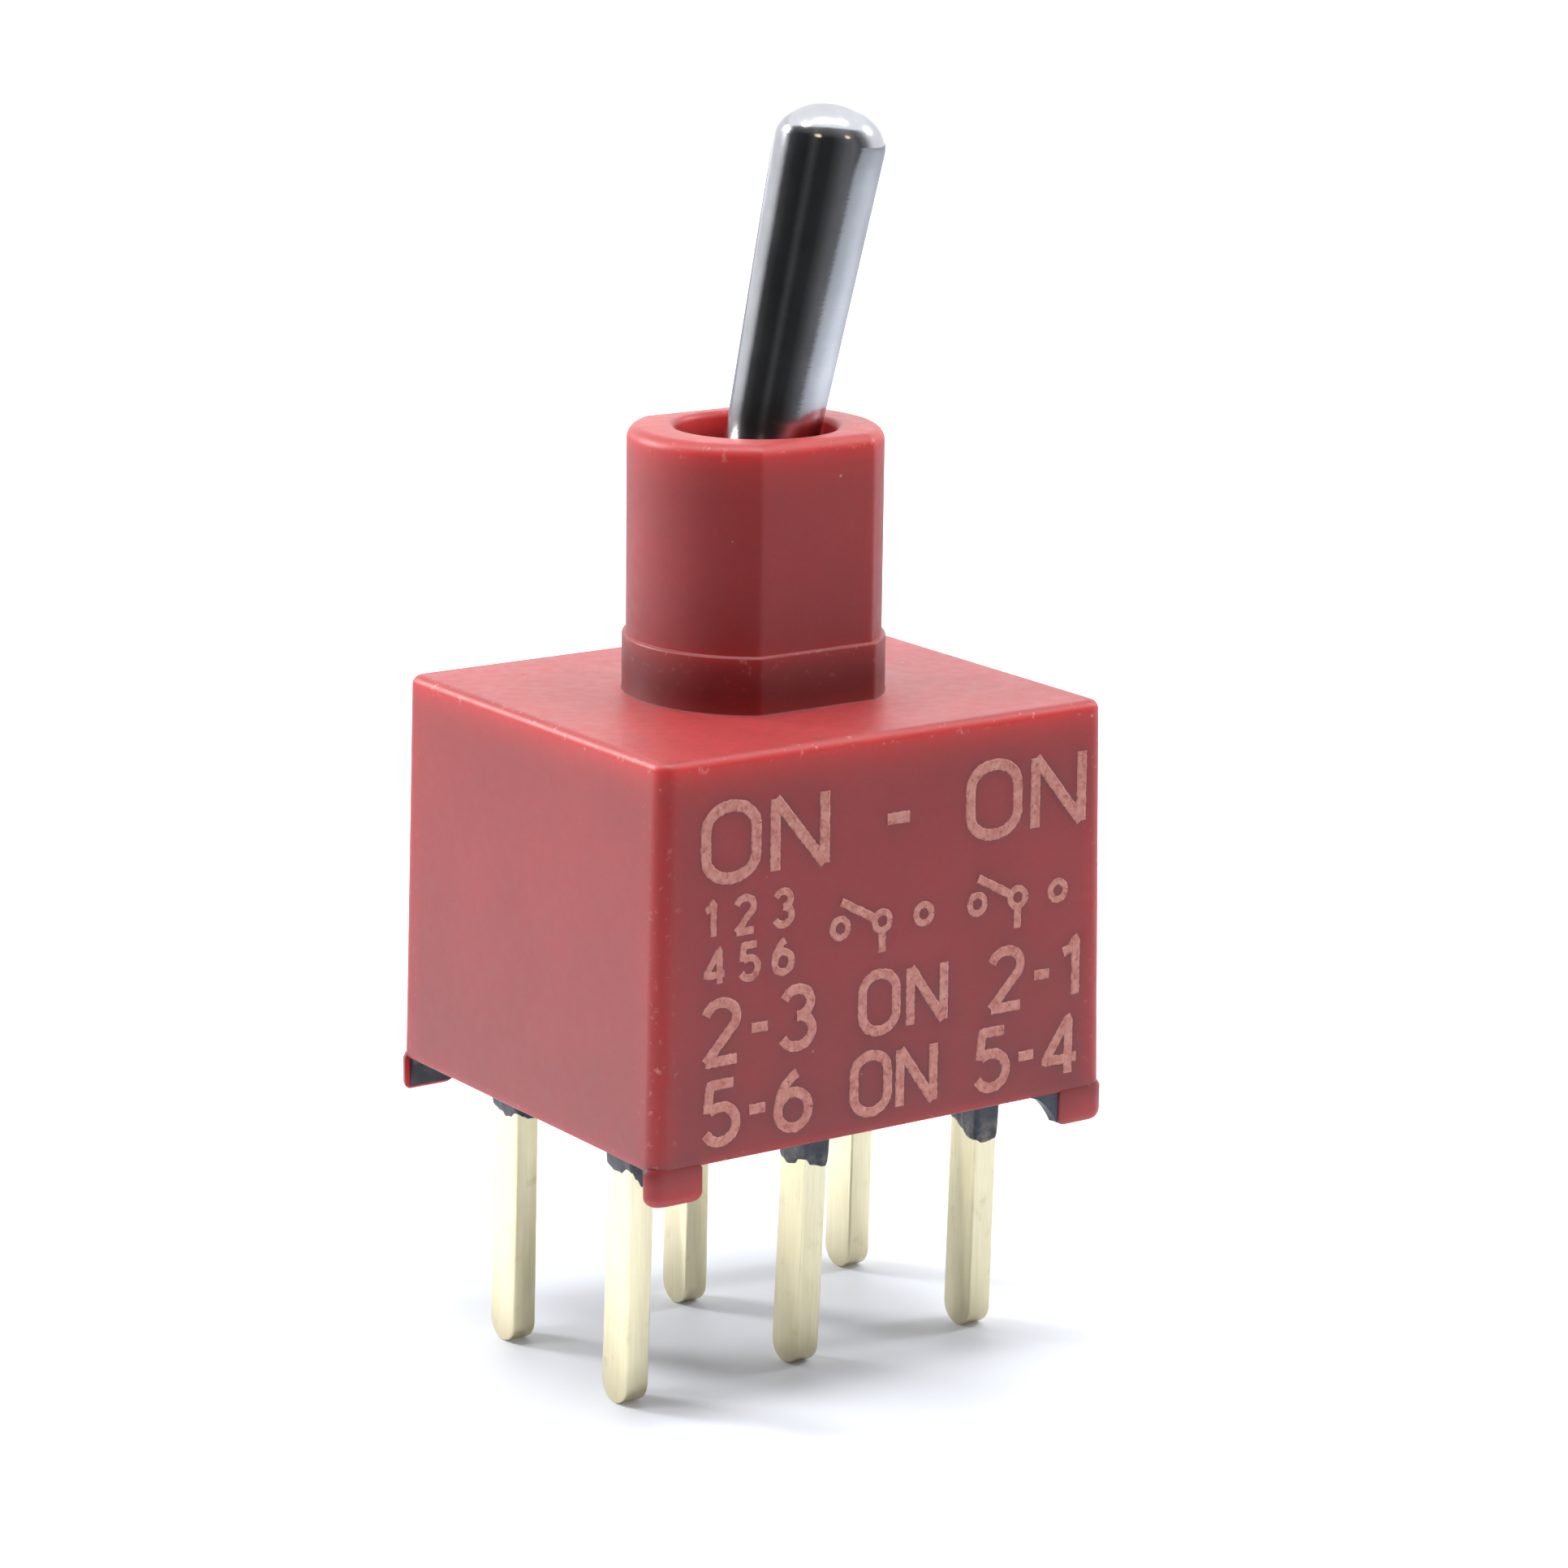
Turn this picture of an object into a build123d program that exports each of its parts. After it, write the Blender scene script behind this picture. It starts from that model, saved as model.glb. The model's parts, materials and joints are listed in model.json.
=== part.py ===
from build123d import *
import math
import os

# Sealed sub-miniature toggle switch, two poles, straight terminals.
# Units are mm and +Z is up. The origin is the middle of the terminal pattern, on the
# plane of the four foot bottoms, which is where the circuit board lies.
# +X runs along the marked face, -Y faces the marked face, and the lever rests towards +X.

# Terminals
terminal_margin = 1.40       # middle of an end terminal to the case's end wall
row_spacing = 4.83           # between the two rows
terminal_thickness = 0.60    # along X
terminal_width = 1.00        # along Y
terminal_length = 5.50       # below the board plane

# Case
case_length = 12.20          # along X, at the bottom edge
case_width = 10.60           # along Y, at the bottom edge
case_height = 8.95           # bottom edge to top face
end_draft = 1.27             # degrees, the two end walls
side_draft = 0.34            # degrees, the marked wall and the back wall
case_corner = 0.38
case_top_round = 0.22
wall = 0.80
roof = 1.15
recess_step = 0.20           # the base's recess is this much wider than the chamber, each side
inner_corner = 0.40
foot_height = 0.80
foot_length = 1.33           # along X
foot_thickness = 0.34        # along Y
foot_proud = 0.06            # beyond the end walls
sole_chamfer = 0.14

# Bushing
bushing_radius = 2.86
bushing_flats = 4.88         # across the two flats
bushing_height = 5.95        # above the case
rim_round = 0.30
collar_radius = 2.95
collar_flats = 5.04
collar_height = 1.29
collar_chamfer = 0.05
mouth_radius = 1.80          # the opening the lever comes out of
mouth_depth = 1.55
lip_chamfer = 0.13
stem_bore_wall = 0.30        # left between the lower bore and the bushing's flats

# Lever, measured from its pivot
lever_tilt = 12.75           # degrees, either side of upright
pivot_drop = 2.25            # below the bushing's top
lever_length = 9.50
lever_tip_radius = 1.25
lever_neck_radius = 1.03
lever_dome = 0.92            # height of the rounded end
ball_radius = 1.90
ball_clearance = 0.03
stem_radius = 0.80
tang_length = 1.85
tang_thickness = 0.90
seal_section = 0.25          # radius of the seal's section

# Actuator and plungers, with heights measured along the lever
actuator_headroom = 0.60     # under the chamber's roof with the lever upright
actuator_height = 2.30
actuator_length = 2.10       # along X
actuator_width = 6.60        # along Y
actuator_corner = 0.25
pocket_roof = 0.40
plunger_radius = 0.60
plunger_clearance = 0.03
spring_space = 1.15          # pocket's roof to the plunger's shoulder
spring_wire = 0.07           # half the wire's width
spring_seat = 0.01           # free at each end of a spring
spring_radius = 0.46         # middle of the wire
spring_turns = 3.0

# Rockers
rocker_throw = 6.0           # degrees, either side of level
rocker_inset = 0.25          # rocker's tip to the middle of an end terminal
rocker_width = 1.70
rocker_thickness = 0.35
trough_radius = 5.60
trough_half = 2.00
fulcrum_height = 4.00        # rocker axis above the board plane
lug_radius = 0.25
lug_clearance = 0.03
tip_gap = 0.03               # plunger to rocker in mid throw

# Base, fixed contacts and potting
base_top = 3.00
base_bottom = 1.60
base_clearance = 0.02
barrier_top = 5.30
barrier_thickness = 0.70
head_height = 0.45
head_length = 1.60           # of an end terminal, along X
head_width = 1.80
head_chamfer = 0.12
contact_inset = 0.60         # contact's middle to the middle of its terminal
contact_radius = 0.62
contact_gap = 0.02           # closed contact, rocker to button
saddle_length = 1.30
saddle_floor = 0.25
ear_gap = 1.90               # between the two ears of a centre terminal
ear_thickness = 0.25
ear_rise = 0.15              # above the rocker's axis
potting_bottom = 0.88
creep_front = 1.50           # how far the potting runs down the middle front terminal
creep_slope = 0.38           # more at the right front terminal, and less at the left
creep_back = 0.22            # and down each back terminal
creep_spread = 0.12          # beyond the terminal's faces at the top of the collar
creep_edge = 0.03            # and at its lower edge

# Heights and half widths that follow from the sizes above
case_top_z = foot_height + case_height
collar_top_z = case_top_z + collar_height
bushing_top_z = case_top_z + bushing_height
pivot_z = bushing_top_z - pivot_drop
chamber_top_z = case_top_z - roof
top_length = case_length - 2 * case_height * math.tan(math.radians(end_draft))
top_width = case_width - 2 * case_height * math.tan(math.radians(side_draft))
chamber_x = top_length / 2 - wall
chamber_y = top_width / 2 - wall
recess_x = chamber_x + recess_step
recess_y = chamber_y + recess_step
row_y = row_spacing / 2
terminal_pitch = case_length / 2 - terminal_margin
rocker_half_length = terminal_pitch - rocker_inset
contact_x = terminal_pitch - contact_inset
seal_ring_radius = ball_radius + ball_clearance / 2 - seal_section
actuator_top = pivot_z - chamber_top_z + actuator_headroom
actuator_bottom = actuator_top + actuator_height
pocket_top = actuator_top + pocket_roof
plunger_shoulder = pocket_top + spring_space
tip_centre = pivot_z - fulcrum_height - rocker_thickness / 2 - tip_gap - plunger_radius
trough_rise = trough_radius - math.sqrt(trough_radius ** 2 - trough_half ** 2)
wing_slope = math.tan(math.radians(rocker_throw))


def slab(x0, x1, y0, y1, z0, z1):
    """A box given by its limits."""
    middle = Pos((x0 + x1) / 2, (y0 + y1) / 2, (z0 + z1) / 2)
    return middle * Box(x1 - x0, y1 - y0, z1 - z0)


def block(half_x, half_y, z0, z1, corner):
    """A box centred on Z with rounded uprights."""
    shape = slab(-half_x, half_x, -half_y, half_y, z0, z1)
    return fillet(shape.edges().filter_by(Axis.Z), corner)


def rod(radius, z0, z1):
    """An upright cylinder between two heights."""
    return Pos(0, 0, (z0 + z1) / 2) * Cylinder(radius, z1 - z0)


def flatted(radius, flats, z0, z1):
    """A cylinder with two flats, front and back."""
    return rod(radius, z0, z1) & slab(-radius, radius, -flats / 2, flats / 2, z0, z1)


def prism(plane, low, high, z0, z1, depth):
    """A bar whose section, drawn on the plane given, narrows from low to high half widths."""
    outline = Polyline((-low, z0), (low, z0), (high, z1), (-high, z1), close=True)
    return extrude(plane * make_face(outline), amount=depth, both=True)


def tapered(low_x, low_y, high_x, high_y, z0, z1):
    """A four-sided block centred on Z that changes its half widths from z0 to z1."""
    depth = 2 * max(low_x, low_y, high_x, high_y)
    along = prism(Plane.XZ, low_x, high_x, z0, z1, depth)
    across = prism(Plane.YZ, low_y, high_y, z0, z1, depth)
    return along & across


def top_edges(shape, z):
    """The edges of a shape that lie on its top face."""
    return [e for e in shape.edges() if e.bounding_box().min.Z > z - 1e-3]


def on_lever(shape):
    """Put a shape drawn upright, with the pivot at the origin, where the lever rests."""
    return Pos(0, 0, pivot_z) * Rot(0, lever_tilt, 0) * shape


def quarter(shape, side_x, side_y):
    """Mirror a shape drawn at +X +Y into the corner asked for."""
    if side_x < 0:
        shape = mirror(shape, about=Plane.YZ)
    if side_y < 0:
        shape = mirror(shape, about=Plane.XZ)
    return shape


def case_box():
    """The drafted box with rounded uprights and a rounded top edge."""
    shape = tapered(case_length / 2, case_width / 2, top_length / 2, top_width / 2,
                    foot_height, case_top_z)
    uprights = [e for e in shape.edges() if e.bounding_box().size.Z > case_height / 2]
    shape = fillet(uprights, case_corner)
    return fillet(top_edges(shape, case_top_z), case_top_round)


def foot():
    """The stand-off foot at the +X +Y corner."""
    far_x = case_length / 2 + foot_proud
    far_y = case_width / 2 + foot_proud / 3
    shape = slab(far_x - foot_length, far_x, far_y - foot_thickness, far_y, 0, foot_height)
    shape &= block(far_x, far_y, 0, foot_height, case_corner)
    sole = [e for e in shape.edges() if e.bounding_box().max.Z < 1e-3]
    return chamfer(sole, sole_chamfer)


def case_hollow():
    """Chamber, recess for the base, and the bores for the lever."""
    chamber = block(chamber_x, chamber_y, foot_height, chamber_top_z, inner_corner)
    recess = block(recess_x, recess_y, foot_height, base_top, inner_corner)
    mouth = rod(mouth_radius, chamber_top_z, bushing_top_z)
    bore = rod(ball_radius + ball_clearance, chamber_top_z, bushing_top_z - mouth_depth)
    stem_bore = rod(bushing_flats / 2 - stem_bore_wall, chamber_top_z, collar_top_z)
    return chamber + recess + mouth + bore + stem_bore


def make_case():
    """One moulding: box, feet, collar and bushing."""
    shape = case_box()
    collar = flatted(collar_radius, collar_flats, case_top_z, collar_top_z)
    bushing = flatted(bushing_radius, bushing_flats, case_top_z, bushing_top_z)
    shape += chamfer(top_edges(collar, collar_top_z), collar_chamfer)
    shape += fillet(top_edges(bushing, bushing_top_z), rim_round)
    for side_x in (-1, 1):
        for side_y in (-1, 1):
            shape += quarter(foot(), side_x, side_y)
    shape -= case_hollow()
    lip = [e for e in shape.edges().filter_by(GeomType.CIRCLE)
           if abs(e.radius - mouth_radius) < 1e-3 and e.center().Z > bushing_top_z - 1e-3]
    return chamfer(lip, lip_chamfer)


def shank():
    """The turned part of the lever above the ball, with its rounded end."""
    foot_radius = lever_neck_radius + 0.12
    foot_z = math.sqrt(ball_radius ** 2 - foot_radius ** 2)
    dome_z = lever_length - lever_dome
    with BuildSketch(Plane.XZ) as side:
        with BuildLine():
            Polyline((0, lever_length), (0, 0), (foot_radius, 0), (foot_radius, foot_z),
                     (lever_neck_radius, foot_z + 0.25), (lever_tip_radius, dome_z))
            Spline((lever_tip_radius, dome_z),
                   (0.80 * lever_tip_radius, lever_length - 0.36 * lever_dome),
                   (0.38 * lever_tip_radius, lever_length - 0.06 * lever_dome),
                   (0, lever_length), tangents=((0, 1), (-1, 0)))
        make_face()
    return revolve(side.sketch, axis=Axis.Z)


def tang():
    """The two-sided end of the lever that the actuator is pressed on."""
    z0 = -actuator_top - tang_length
    half = tang_thickness / 2
    sides = slab(-half, half, -stem_radius, stem_radius, z0, -actuator_top)
    return sides & rod(stem_radius, z0, -actuator_top)


def make_lever():
    """The turned lever: shank, ball with a seal groove, stem and tang."""
    half_groove = seal_section + 0.01
    groove = rod(ball_radius + 1, -half_groove, half_groove)
    groove -= rod(seal_ring_radius - seal_section, -half_groove, half_groove)
    ball = Sphere(ball_radius) + shank() - groove
    stem = rod(stem_radius, -actuator_top, 0)
    return on_lever(ball + stem + tang())


def make_seal():
    """The O-ring in the ball's groove, with a six-sided section."""
    section = Plane.XZ * Pos(seal_ring_radius, 0) * RegularPolygon(seal_section, 6)
    return on_lever(revolve(section, axis=Axis.Z))


def make_actuator():
    """The crossbar on the lever's tang, with a spring pocket over each rocker."""
    shape = block(actuator_length / 2, actuator_width / 2, -actuator_bottom, -actuator_top,
                  actuator_corner)
    shape -= tang()
    for y in (-row_y, row_y):
        pocket = rod(plunger_radius + plunger_clearance, -actuator_bottom, -pocket_top)
        shape -= Pos(0, y, 0) * pocket
    return on_lever(shape)


def make_plunger(y):
    """A round-ended plunger, flat where its spring sits."""
    body = rod(plunger_radius, -tip_centre, -plunger_shoulder)
    body += Pos(0, 0, -tip_centre) * Sphere(plunger_radius)
    return on_lever(Pos(0, y, 0) * body)


def make_spring(y):
    """A coil spring of square wire between the pocket's roof and the plunger's shoulder."""
    end_room = spring_wire + spring_seat
    height = spring_space - 2 * end_room
    path = Helix(height / spring_turns, height, spring_radius)
    start = Plane(origin=path @ 0, x_dir=(1, 0, 0), z_dir=path % 0)
    section = start * Rectangle(2 * spring_wire, 2 * spring_wire)
    wire = sweep(section, path=path, is_frenet=True)
    return on_lever(Pos(0, y, end_room - plunger_shoulder) * wire)


def rocker_strip():
    """The bent strip of a rocker, level, with its axis at the origin."""
    half = rocker_thickness / 2
    tip = rocker_half_length
    wing = trough_rise + (tip - trough_half) * wing_slope
    with BuildSketch(Plane.XZ) as side:
        with BuildLine():
            ThreePointArc((-trough_half, trough_rise + half), (0, half),
                          (trough_half, trough_rise + half))
            Polyline((trough_half, trough_rise + half), (tip, wing + half),
                     (tip, wing - half), (trough_half, trough_rise - half))
            ThreePointArc((trough_half, trough_rise - half), (0, -half),
                          (-trough_half, trough_rise - half))
            Polyline((-trough_half, trough_rise - half), (-tip, wing - half),
                     (-tip, wing + half), (-trough_half, trough_rise + half))
        make_face()
    return extrude(side.sketch, amount=rocker_width / 2, both=True)


def make_rocker(y):
    """A see-saw contact with a lug on each side, tipped down towards -X."""
    reach = (ear_gap - rocker_width) / 2 + 0.9 * ear_thickness
    shape = rocker_strip()
    for side in (-1, 1):
        middle = side * (rocker_width + reach) / 2
        shape += Pos(0, middle, 0) * Rot(90, 0, 0) * Cylinder(lug_radius, reach)
    return Pos(0, y, fulcrum_height) * Rot(0, -rocker_throw, 0) * shape


def blade():
    """The straight flat leg of a terminal with its round end, up to the base's top."""
    half_w = terminal_width / 2
    round_z = half_w - terminal_length
    sides = Polyline((-half_w, round_z), (-half_w, base_top), (half_w, base_top),
                     (half_w, round_z))
    end = ThreePointArc((half_w, round_z), (0, -terminal_length), (-half_w, round_z))
    return extrude(Plane.YZ * make_face(sides + end), amount=terminal_thickness / 2, both=True)


def make_end_terminal(side, y):
    """Blade with a flat head that reaches in under the rocker's end."""
    outer = terminal_pitch + terminal_thickness / 2
    half = head_width / 2
    head = slab(outer - head_length, outer, -half, half, base_top, base_top + head_height)
    head = chamfer(head.edges().filter_by(Axis.Z), head_chamfer)
    shape = Pos(terminal_pitch, 0, 0) * blade() + head
    if side < 0:
        shape = mirror(shape, about=Plane.YZ)
    return Pos(0, y, 0) * shape


def make_centre_terminal(y):
    """Blade with a saddle: two ears, each with an open notch for a rocker's lug."""
    half = saddle_length / 2
    width = ear_gap / 2 + ear_thickness
    top = fulcrum_height + ear_rise
    notch = lug_radius + lug_clearance
    shape = slab(-half, half, -width, width, base_top, top)
    shape -= slab(-half, half, -ear_gap / 2, ear_gap / 2, base_top + saddle_floor, top)
    shape -= Pos(0, 0, fulcrum_height) * Rot(90, 0, 0) * Cylinder(notch, 2 * width)
    shape -= slab(-notch, notch, -width, width, fulcrum_height, top)
    return Pos(0, y, 0) * (blade() + shape)


def make_contact(side, y):
    """A silver button on an end terminal's head, just clear of the closed rocker."""
    closed = trough_rise - rocker_thickness / 2 - trough_half * wing_slope
    closed = fulcrum_height + closed * math.cos(math.radians(rocker_throw))
    shape = rod(contact_radius, base_top + head_height, closed - contact_gap)
    return Pos(side * contact_x, y, 0) * shape


def all_blades():
    """The six blades together, to cut their slots."""
    spots = [(x, y) for x in (-terminal_pitch, 0, terminal_pitch) for y in (-row_y, row_y)]
    return Part() + [Pos(x, y, 0) * blade() for x, y in spots]


def make_base():
    """The moulded plate that carries the terminals, with a barrier between the poles."""
    shape = block(recess_x - base_clearance, recess_y - base_clearance, base_bottom, base_top,
                  inner_corner)
    barrier = slab(base_clearance - chamber_x, chamber_x - base_clearance,
                   -barrier_thickness / 2, barrier_thickness / 2, base_bottom, barrier_top)
    return shape + barrier - all_blades()


def creep_collar(x, y):
    """The potting drawn down round the terminal at a place, further at the front."""
    half_t = terminal_thickness / 2
    half_w = terminal_width / 2
    down = creep_front + creep_slope * x / terminal_pitch if y < 0 else creep_back
    collar = tapered(half_t + creep_edge, half_w + creep_edge,
                     half_t + creep_spread, half_w + creep_spread,
                     potting_bottom - down, potting_bottom)
    return Pos(x, y, 0) * collar


def make_potting():
    """The potting under the base, with a collar round each terminal."""
    shape = block(recess_x, recess_y, potting_bottom, base_bottom, inner_corner)
    for x in (-terminal_pitch, 0, terminal_pitch):
        for y in (-row_y, row_y):
            shape += creep_collar(x, y)
    return shape - all_blades()


def make_all():
    """Every piece by name."""
    pieces = {
        "case": make_case(),
        "toggle_lever": make_lever(),
        "lever_o_ring": make_seal(),
        "actuator": make_actuator(),
        "base": make_base(),
        "epoxy_seal": make_potting(),
    }
    for row, y in (("front", -row_y), ("back", row_y)):
        pieces["plunger_" + row] = make_plunger(y)
        pieces["spring_" + row] = make_spring(y)
        pieces["rocker_" + row] = make_rocker(y)
        pieces["terminal_centre_" + row] = make_centre_terminal(y)
        for name, side in (("left", -1), ("right", 1)):
            pieces["terminal_" + name + "_" + row] = make_end_terminal(side, y)
            pieces["contact_" + name + "_" + row] = make_contact(side, y)
    return pieces


os.makedirs("parts", exist_ok=True)
for piece_name, piece in make_all().items():
    export_step(piece, "parts/" + piece_name + ".step")
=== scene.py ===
import bpy
import bmesh
import json
import math
from mathutils import Matrix, Vector, noise


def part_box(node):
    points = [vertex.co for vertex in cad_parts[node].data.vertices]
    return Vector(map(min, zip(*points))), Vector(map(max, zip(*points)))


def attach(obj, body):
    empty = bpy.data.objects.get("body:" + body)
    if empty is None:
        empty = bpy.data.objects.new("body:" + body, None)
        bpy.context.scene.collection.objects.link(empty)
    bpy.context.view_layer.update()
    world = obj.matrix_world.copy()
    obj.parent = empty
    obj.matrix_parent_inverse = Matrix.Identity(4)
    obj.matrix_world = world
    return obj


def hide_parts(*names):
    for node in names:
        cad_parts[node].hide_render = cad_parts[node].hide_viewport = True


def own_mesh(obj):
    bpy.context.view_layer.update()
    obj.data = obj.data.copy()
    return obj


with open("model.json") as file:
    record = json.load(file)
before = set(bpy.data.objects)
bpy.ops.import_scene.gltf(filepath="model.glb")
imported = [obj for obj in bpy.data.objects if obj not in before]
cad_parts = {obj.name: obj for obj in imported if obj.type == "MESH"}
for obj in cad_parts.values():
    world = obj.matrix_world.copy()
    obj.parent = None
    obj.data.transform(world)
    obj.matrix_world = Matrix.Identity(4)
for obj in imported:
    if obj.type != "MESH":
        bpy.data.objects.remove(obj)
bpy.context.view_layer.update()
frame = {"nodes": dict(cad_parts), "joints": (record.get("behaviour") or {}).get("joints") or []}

# Lengths here are in millimetres and MM turns them into metres when a mesh is made.
MM = 0.001

# ---- Sizes that the frame gives ----
joints = {joint["name"]: joint for joint in frame["joints"]}
PIVOT_Z = joints["lever_throw"]["pos_m"][2] / MM
LEVER_AXIS = Vector(joints["plunger_front_slide"]["axis"])
FLOOR_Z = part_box("terminal_left_front")[0].z / MM
PIN_PITCH = 4.70
# A centre terminal's saddle reaches this far to each side of its row.
SADDLE_HALF = 1.20
PIN_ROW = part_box("terminal_centre_back")[1].y / MM - SADDLE_HALF

# ---- Case, with the sizes of the moulding ----
# CORNER_TURN is the way to the corners in degrees, and TIGHT is the step that keeps an edge crisp.
CASE_X = 6.10
CASE_Y = 5.30
CASE_BOTTOM = 0.80
CASE_TOP = 9.75
DRAFT_X = math.tan(math.radians(1.27))
DRAFT_Y = math.tan(math.radians(0.34))
CORNER = 0.38
CORNER_TURN = 41.2
TOP_ROUND = 0.22
BOTTOM_ROUND = 0.05
COLLAR_R = 2.95
COLLAR_FLAT = 2.52
COLLAR_TOP = 11.04
COLLAR_FILLET = 0.03
COLLAR_ROUND = 0.05
BUSHING_R = 2.86
BUSHING_FLAT = 2.44
BUSHING_TOP = (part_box("case")[1] / MM).z
RIM_ROUND = 0.30
MOUTH_R = 1.80
LIP_ROUND = 0.15
MOUTH_BOTTOM = BUSHING_TOP - 1.55
BORE_R = 1.93
STEM_BORE_R = 2.14
TIGHT = 0.015
CHAMBER_TOP = 8.60
CHAMBER = (5.10, 4.45)
RECESS = (5.30, 4.65)
RECESS_TOP = 3.00
INNER_CORNER = 0.40
FOOT_X = (4.83, 6.157)
FOOT_Y = (4.98, 5.32)

# ---- Lever, measured along its axis from the pivot ----
LEVER_TIP = 9.50
TIP_R = 1.25
NECK_R = 1.03
DOME = 0.92
BALL_R = 1.90
GROOVE_HALF = 0.26
GROOVE_DEPTH = 0.485
FLARE = 0.12
FLARE_RISE = 0.25
STEM_R = 0.80
STEM_END = 5.45
TANG_END = 7.30
TANG_HALF = 0.45

# ---- Potting and terminals ----
POTTING_BOTTOM = 0.88
POTTING_TOP = 1.60
PIN_X = 0.30
PIN_Y = 0.50
# How deep the sleeves of potting start in a terminal's surface, and how deep they close.
SKIN = 0.003
SUNK = 0.03
# A sleeve's thickness, how far it flares out at the slab and how quickly that fades, and how ragged
# its end is in large and small waves.
SLEEVE = 0.042
SLEEVE_FLARE = 0.14
SLEEVE_FADE = 0.16
SLEEVE_RAGGED = (0.035, 0.015)
PIN_ROUND = 0.05
ROWS = {"front": -1, "back": 1}
COLUMNS = {"left": -1, "centre": 0, "right": 1}
# The legs lean a little to the left and back below the base, as handled pins do.
LEAN_START = 3.0
LEANS = {"front": {"left": 0.0167, "centre": 0.0235, "right": 0.0120},
         "back": {"left": 0.0114, "centre": 0.0087, "right": 0.0104}}
# Where the potting ends on each terminal: a direction round it in degrees, and a height.
CREEPS = {
    "front": {
        "left": ((121, -0.05), (144, -0.13), (195, -0.13), (228, 0.02), (239, 0.0), (250, -0.20),
                 (266, -0.36), (301, -0.45), (360, -0.30)),
        "centre": ((90, -0.62), (123, -0.70), (144, -0.80), (187, -0.75), (226, -0.60),
                   (239, -0.56), (253, -0.70), (290, -0.76), (330, -0.70)),
        "right": ((90, -0.50), (126, -0.58), (165, -0.74), (220, -0.90), (239, -0.90),
                  (255, -1.00), (282, -0.97), (330, -0.80)),
    },
    "back": {
        "left": ((90, 0.10), (149, -0.02), (184, -0.10), (220, -0.08), (238, 0.06), (257, -0.04),
                 (277, -0.12), (301, -0.12), (360, -0.05)),
        "centre": ((90, 0.20), (180, 0.05), (270, -0.10)),
        "right": ((90, 0.15), (180, 0.10), (270, -0.05)),
    },
}


# ======================= mesh helpers =======================

def new_object(name, data):
    """An object in the scene for a mesh, lamp or camera."""
    made = bpy.data.objects.new(name, data)
    bpy.context.collection.objects.link(made)
    return made


def add_mesh(name, points, faces, material, body, smooth=True):
    """A mesh object from points in millimetres, riding on a body."""
    mesh = bpy.data.meshes.new(name)
    mesh.from_pydata([Vector(p) * MM for p in points], [], faces)
    mesh.validate()
    mesh.materials.append(material)
    mesh.polygons.foreach_set("use_smooth", [smooth] * len(mesh.polygons))
    piece = new_object(name, mesh)
    bpy.context.view_layer.update()
    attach(piece, body)
    return piece


def loft(rings, closed):
    """Faces between rings of equal length, each ring running the same way round."""
    count = len(rings[0])
    points = [p for ring in rings for p in ring]
    steps = len(rings) if closed else len(rings) - 1
    faces = []
    for step in range(steps):
        here = step * count
        there = (step + 1) % len(rings) * count
        for i in range(count):
            j = (i + 1) % count
            faces.append((here + i, here + j, there + j, there + i))
    return points, faces


def capped_loft(rings):
    """A loft with a face over its first ring and one over its last."""
    points, faces = loft(rings, closed=False)
    count = len(rings[0])
    faces.append(tuple(range(count)))
    faces.append(tuple(range(len(points) - count, len(points))))
    return points, faces


def face_out(piece):
    """Turn every face of a closed piece outwards."""
    shape = bmesh.new()
    shape.from_mesh(piece.data)
    bmesh.ops.recalc_face_normals(shape, faces=shape.faces)
    shape.to_mesh(piece.data)
    shape.free()


def sharpen(piece, angle):
    """Mark edges steeper than the angle as sharp, then weight normals by face area."""
    limit = math.radians(angle)
    shape = bmesh.new()
    shape.from_mesh(piece.data)
    for edge in shape.edges:
        edge.smooth = len(edge.link_faces) == 2 and edge.calc_face_angle() < limit
    shape.to_mesh(piece.data)
    shape.free()
    weighted = piece.modifiers.new("weighted", "WEIGHTED_NORMAL")
    weighted.keep_sharp = True


def fill_wear_and_edge_light(piece, values):
    """How worn a piece is, and how much painted edge light it gets, at each of its points, for the
    red material.
    """
    layer = piece.data.attributes.new("wear_and_edge_light", "FLOAT", "POINT")
    layer.data.foreach_set("value", values)


# ======================= outlines =======================

def box_radius(angle, half_x, half_y, corner):
    """How far a rounded rectangle reaches from its middle at an angle."""
    c, s = abs(math.cos(angle)), abs(math.sin(angle))
    reach = min(half_x / c if c > 1e-9 else 1e9, half_y / s if s > 1e-9 else 1e9)
    x, y = reach * c, reach * s
    centre_x, centre_y = half_x - corner, half_y - corner
    if x <= centre_x or y <= centre_y:
        return reach
    along = centre_x * c + centre_y * s
    return along + math.sqrt(max(along ** 2 - centre_x ** 2 - centre_y ** 2 + corner ** 2, 0))


def flatted_radius(angle, radius, flat, soft=0.012):
    """How far a circle with two flats, front and back, reaches at an angle."""
    s = abs(math.sin(angle))
    to_flat = flat / s if s > 1e-9 else 1e9
    gap = min(max((to_flat - radius) / soft, -60), 60)
    return radius - soft * math.log1p(math.exp(-gap))


def ring_angles():
    """Angles round the case, closer together at its corners and at the bushing's flats."""
    quarter = []
    angle = 0.0
    while angle < 90:
        quarter.append(angle)
        if 37 <= angle < 46:
            angle += 0.3
        elif 54 <= angle < 63:
            angle += 0.6
        else:
            angle += 3
    angles = quarter + [180 - a for a in [90] + quarter[:0:-1]]
    angles += [180 + a for a in angles]
    return [math.radians(a) for a in sorted(set(round(a, 4) for a in angles))]


ANGLES = ring_angles()


def polar_ring(reach, z):
    """A level ring from a function that gives the reach at each angle."""
    return [(reach(a) * math.cos(a), reach(a) * math.sin(a), z) for a in ANGLES]


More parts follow.
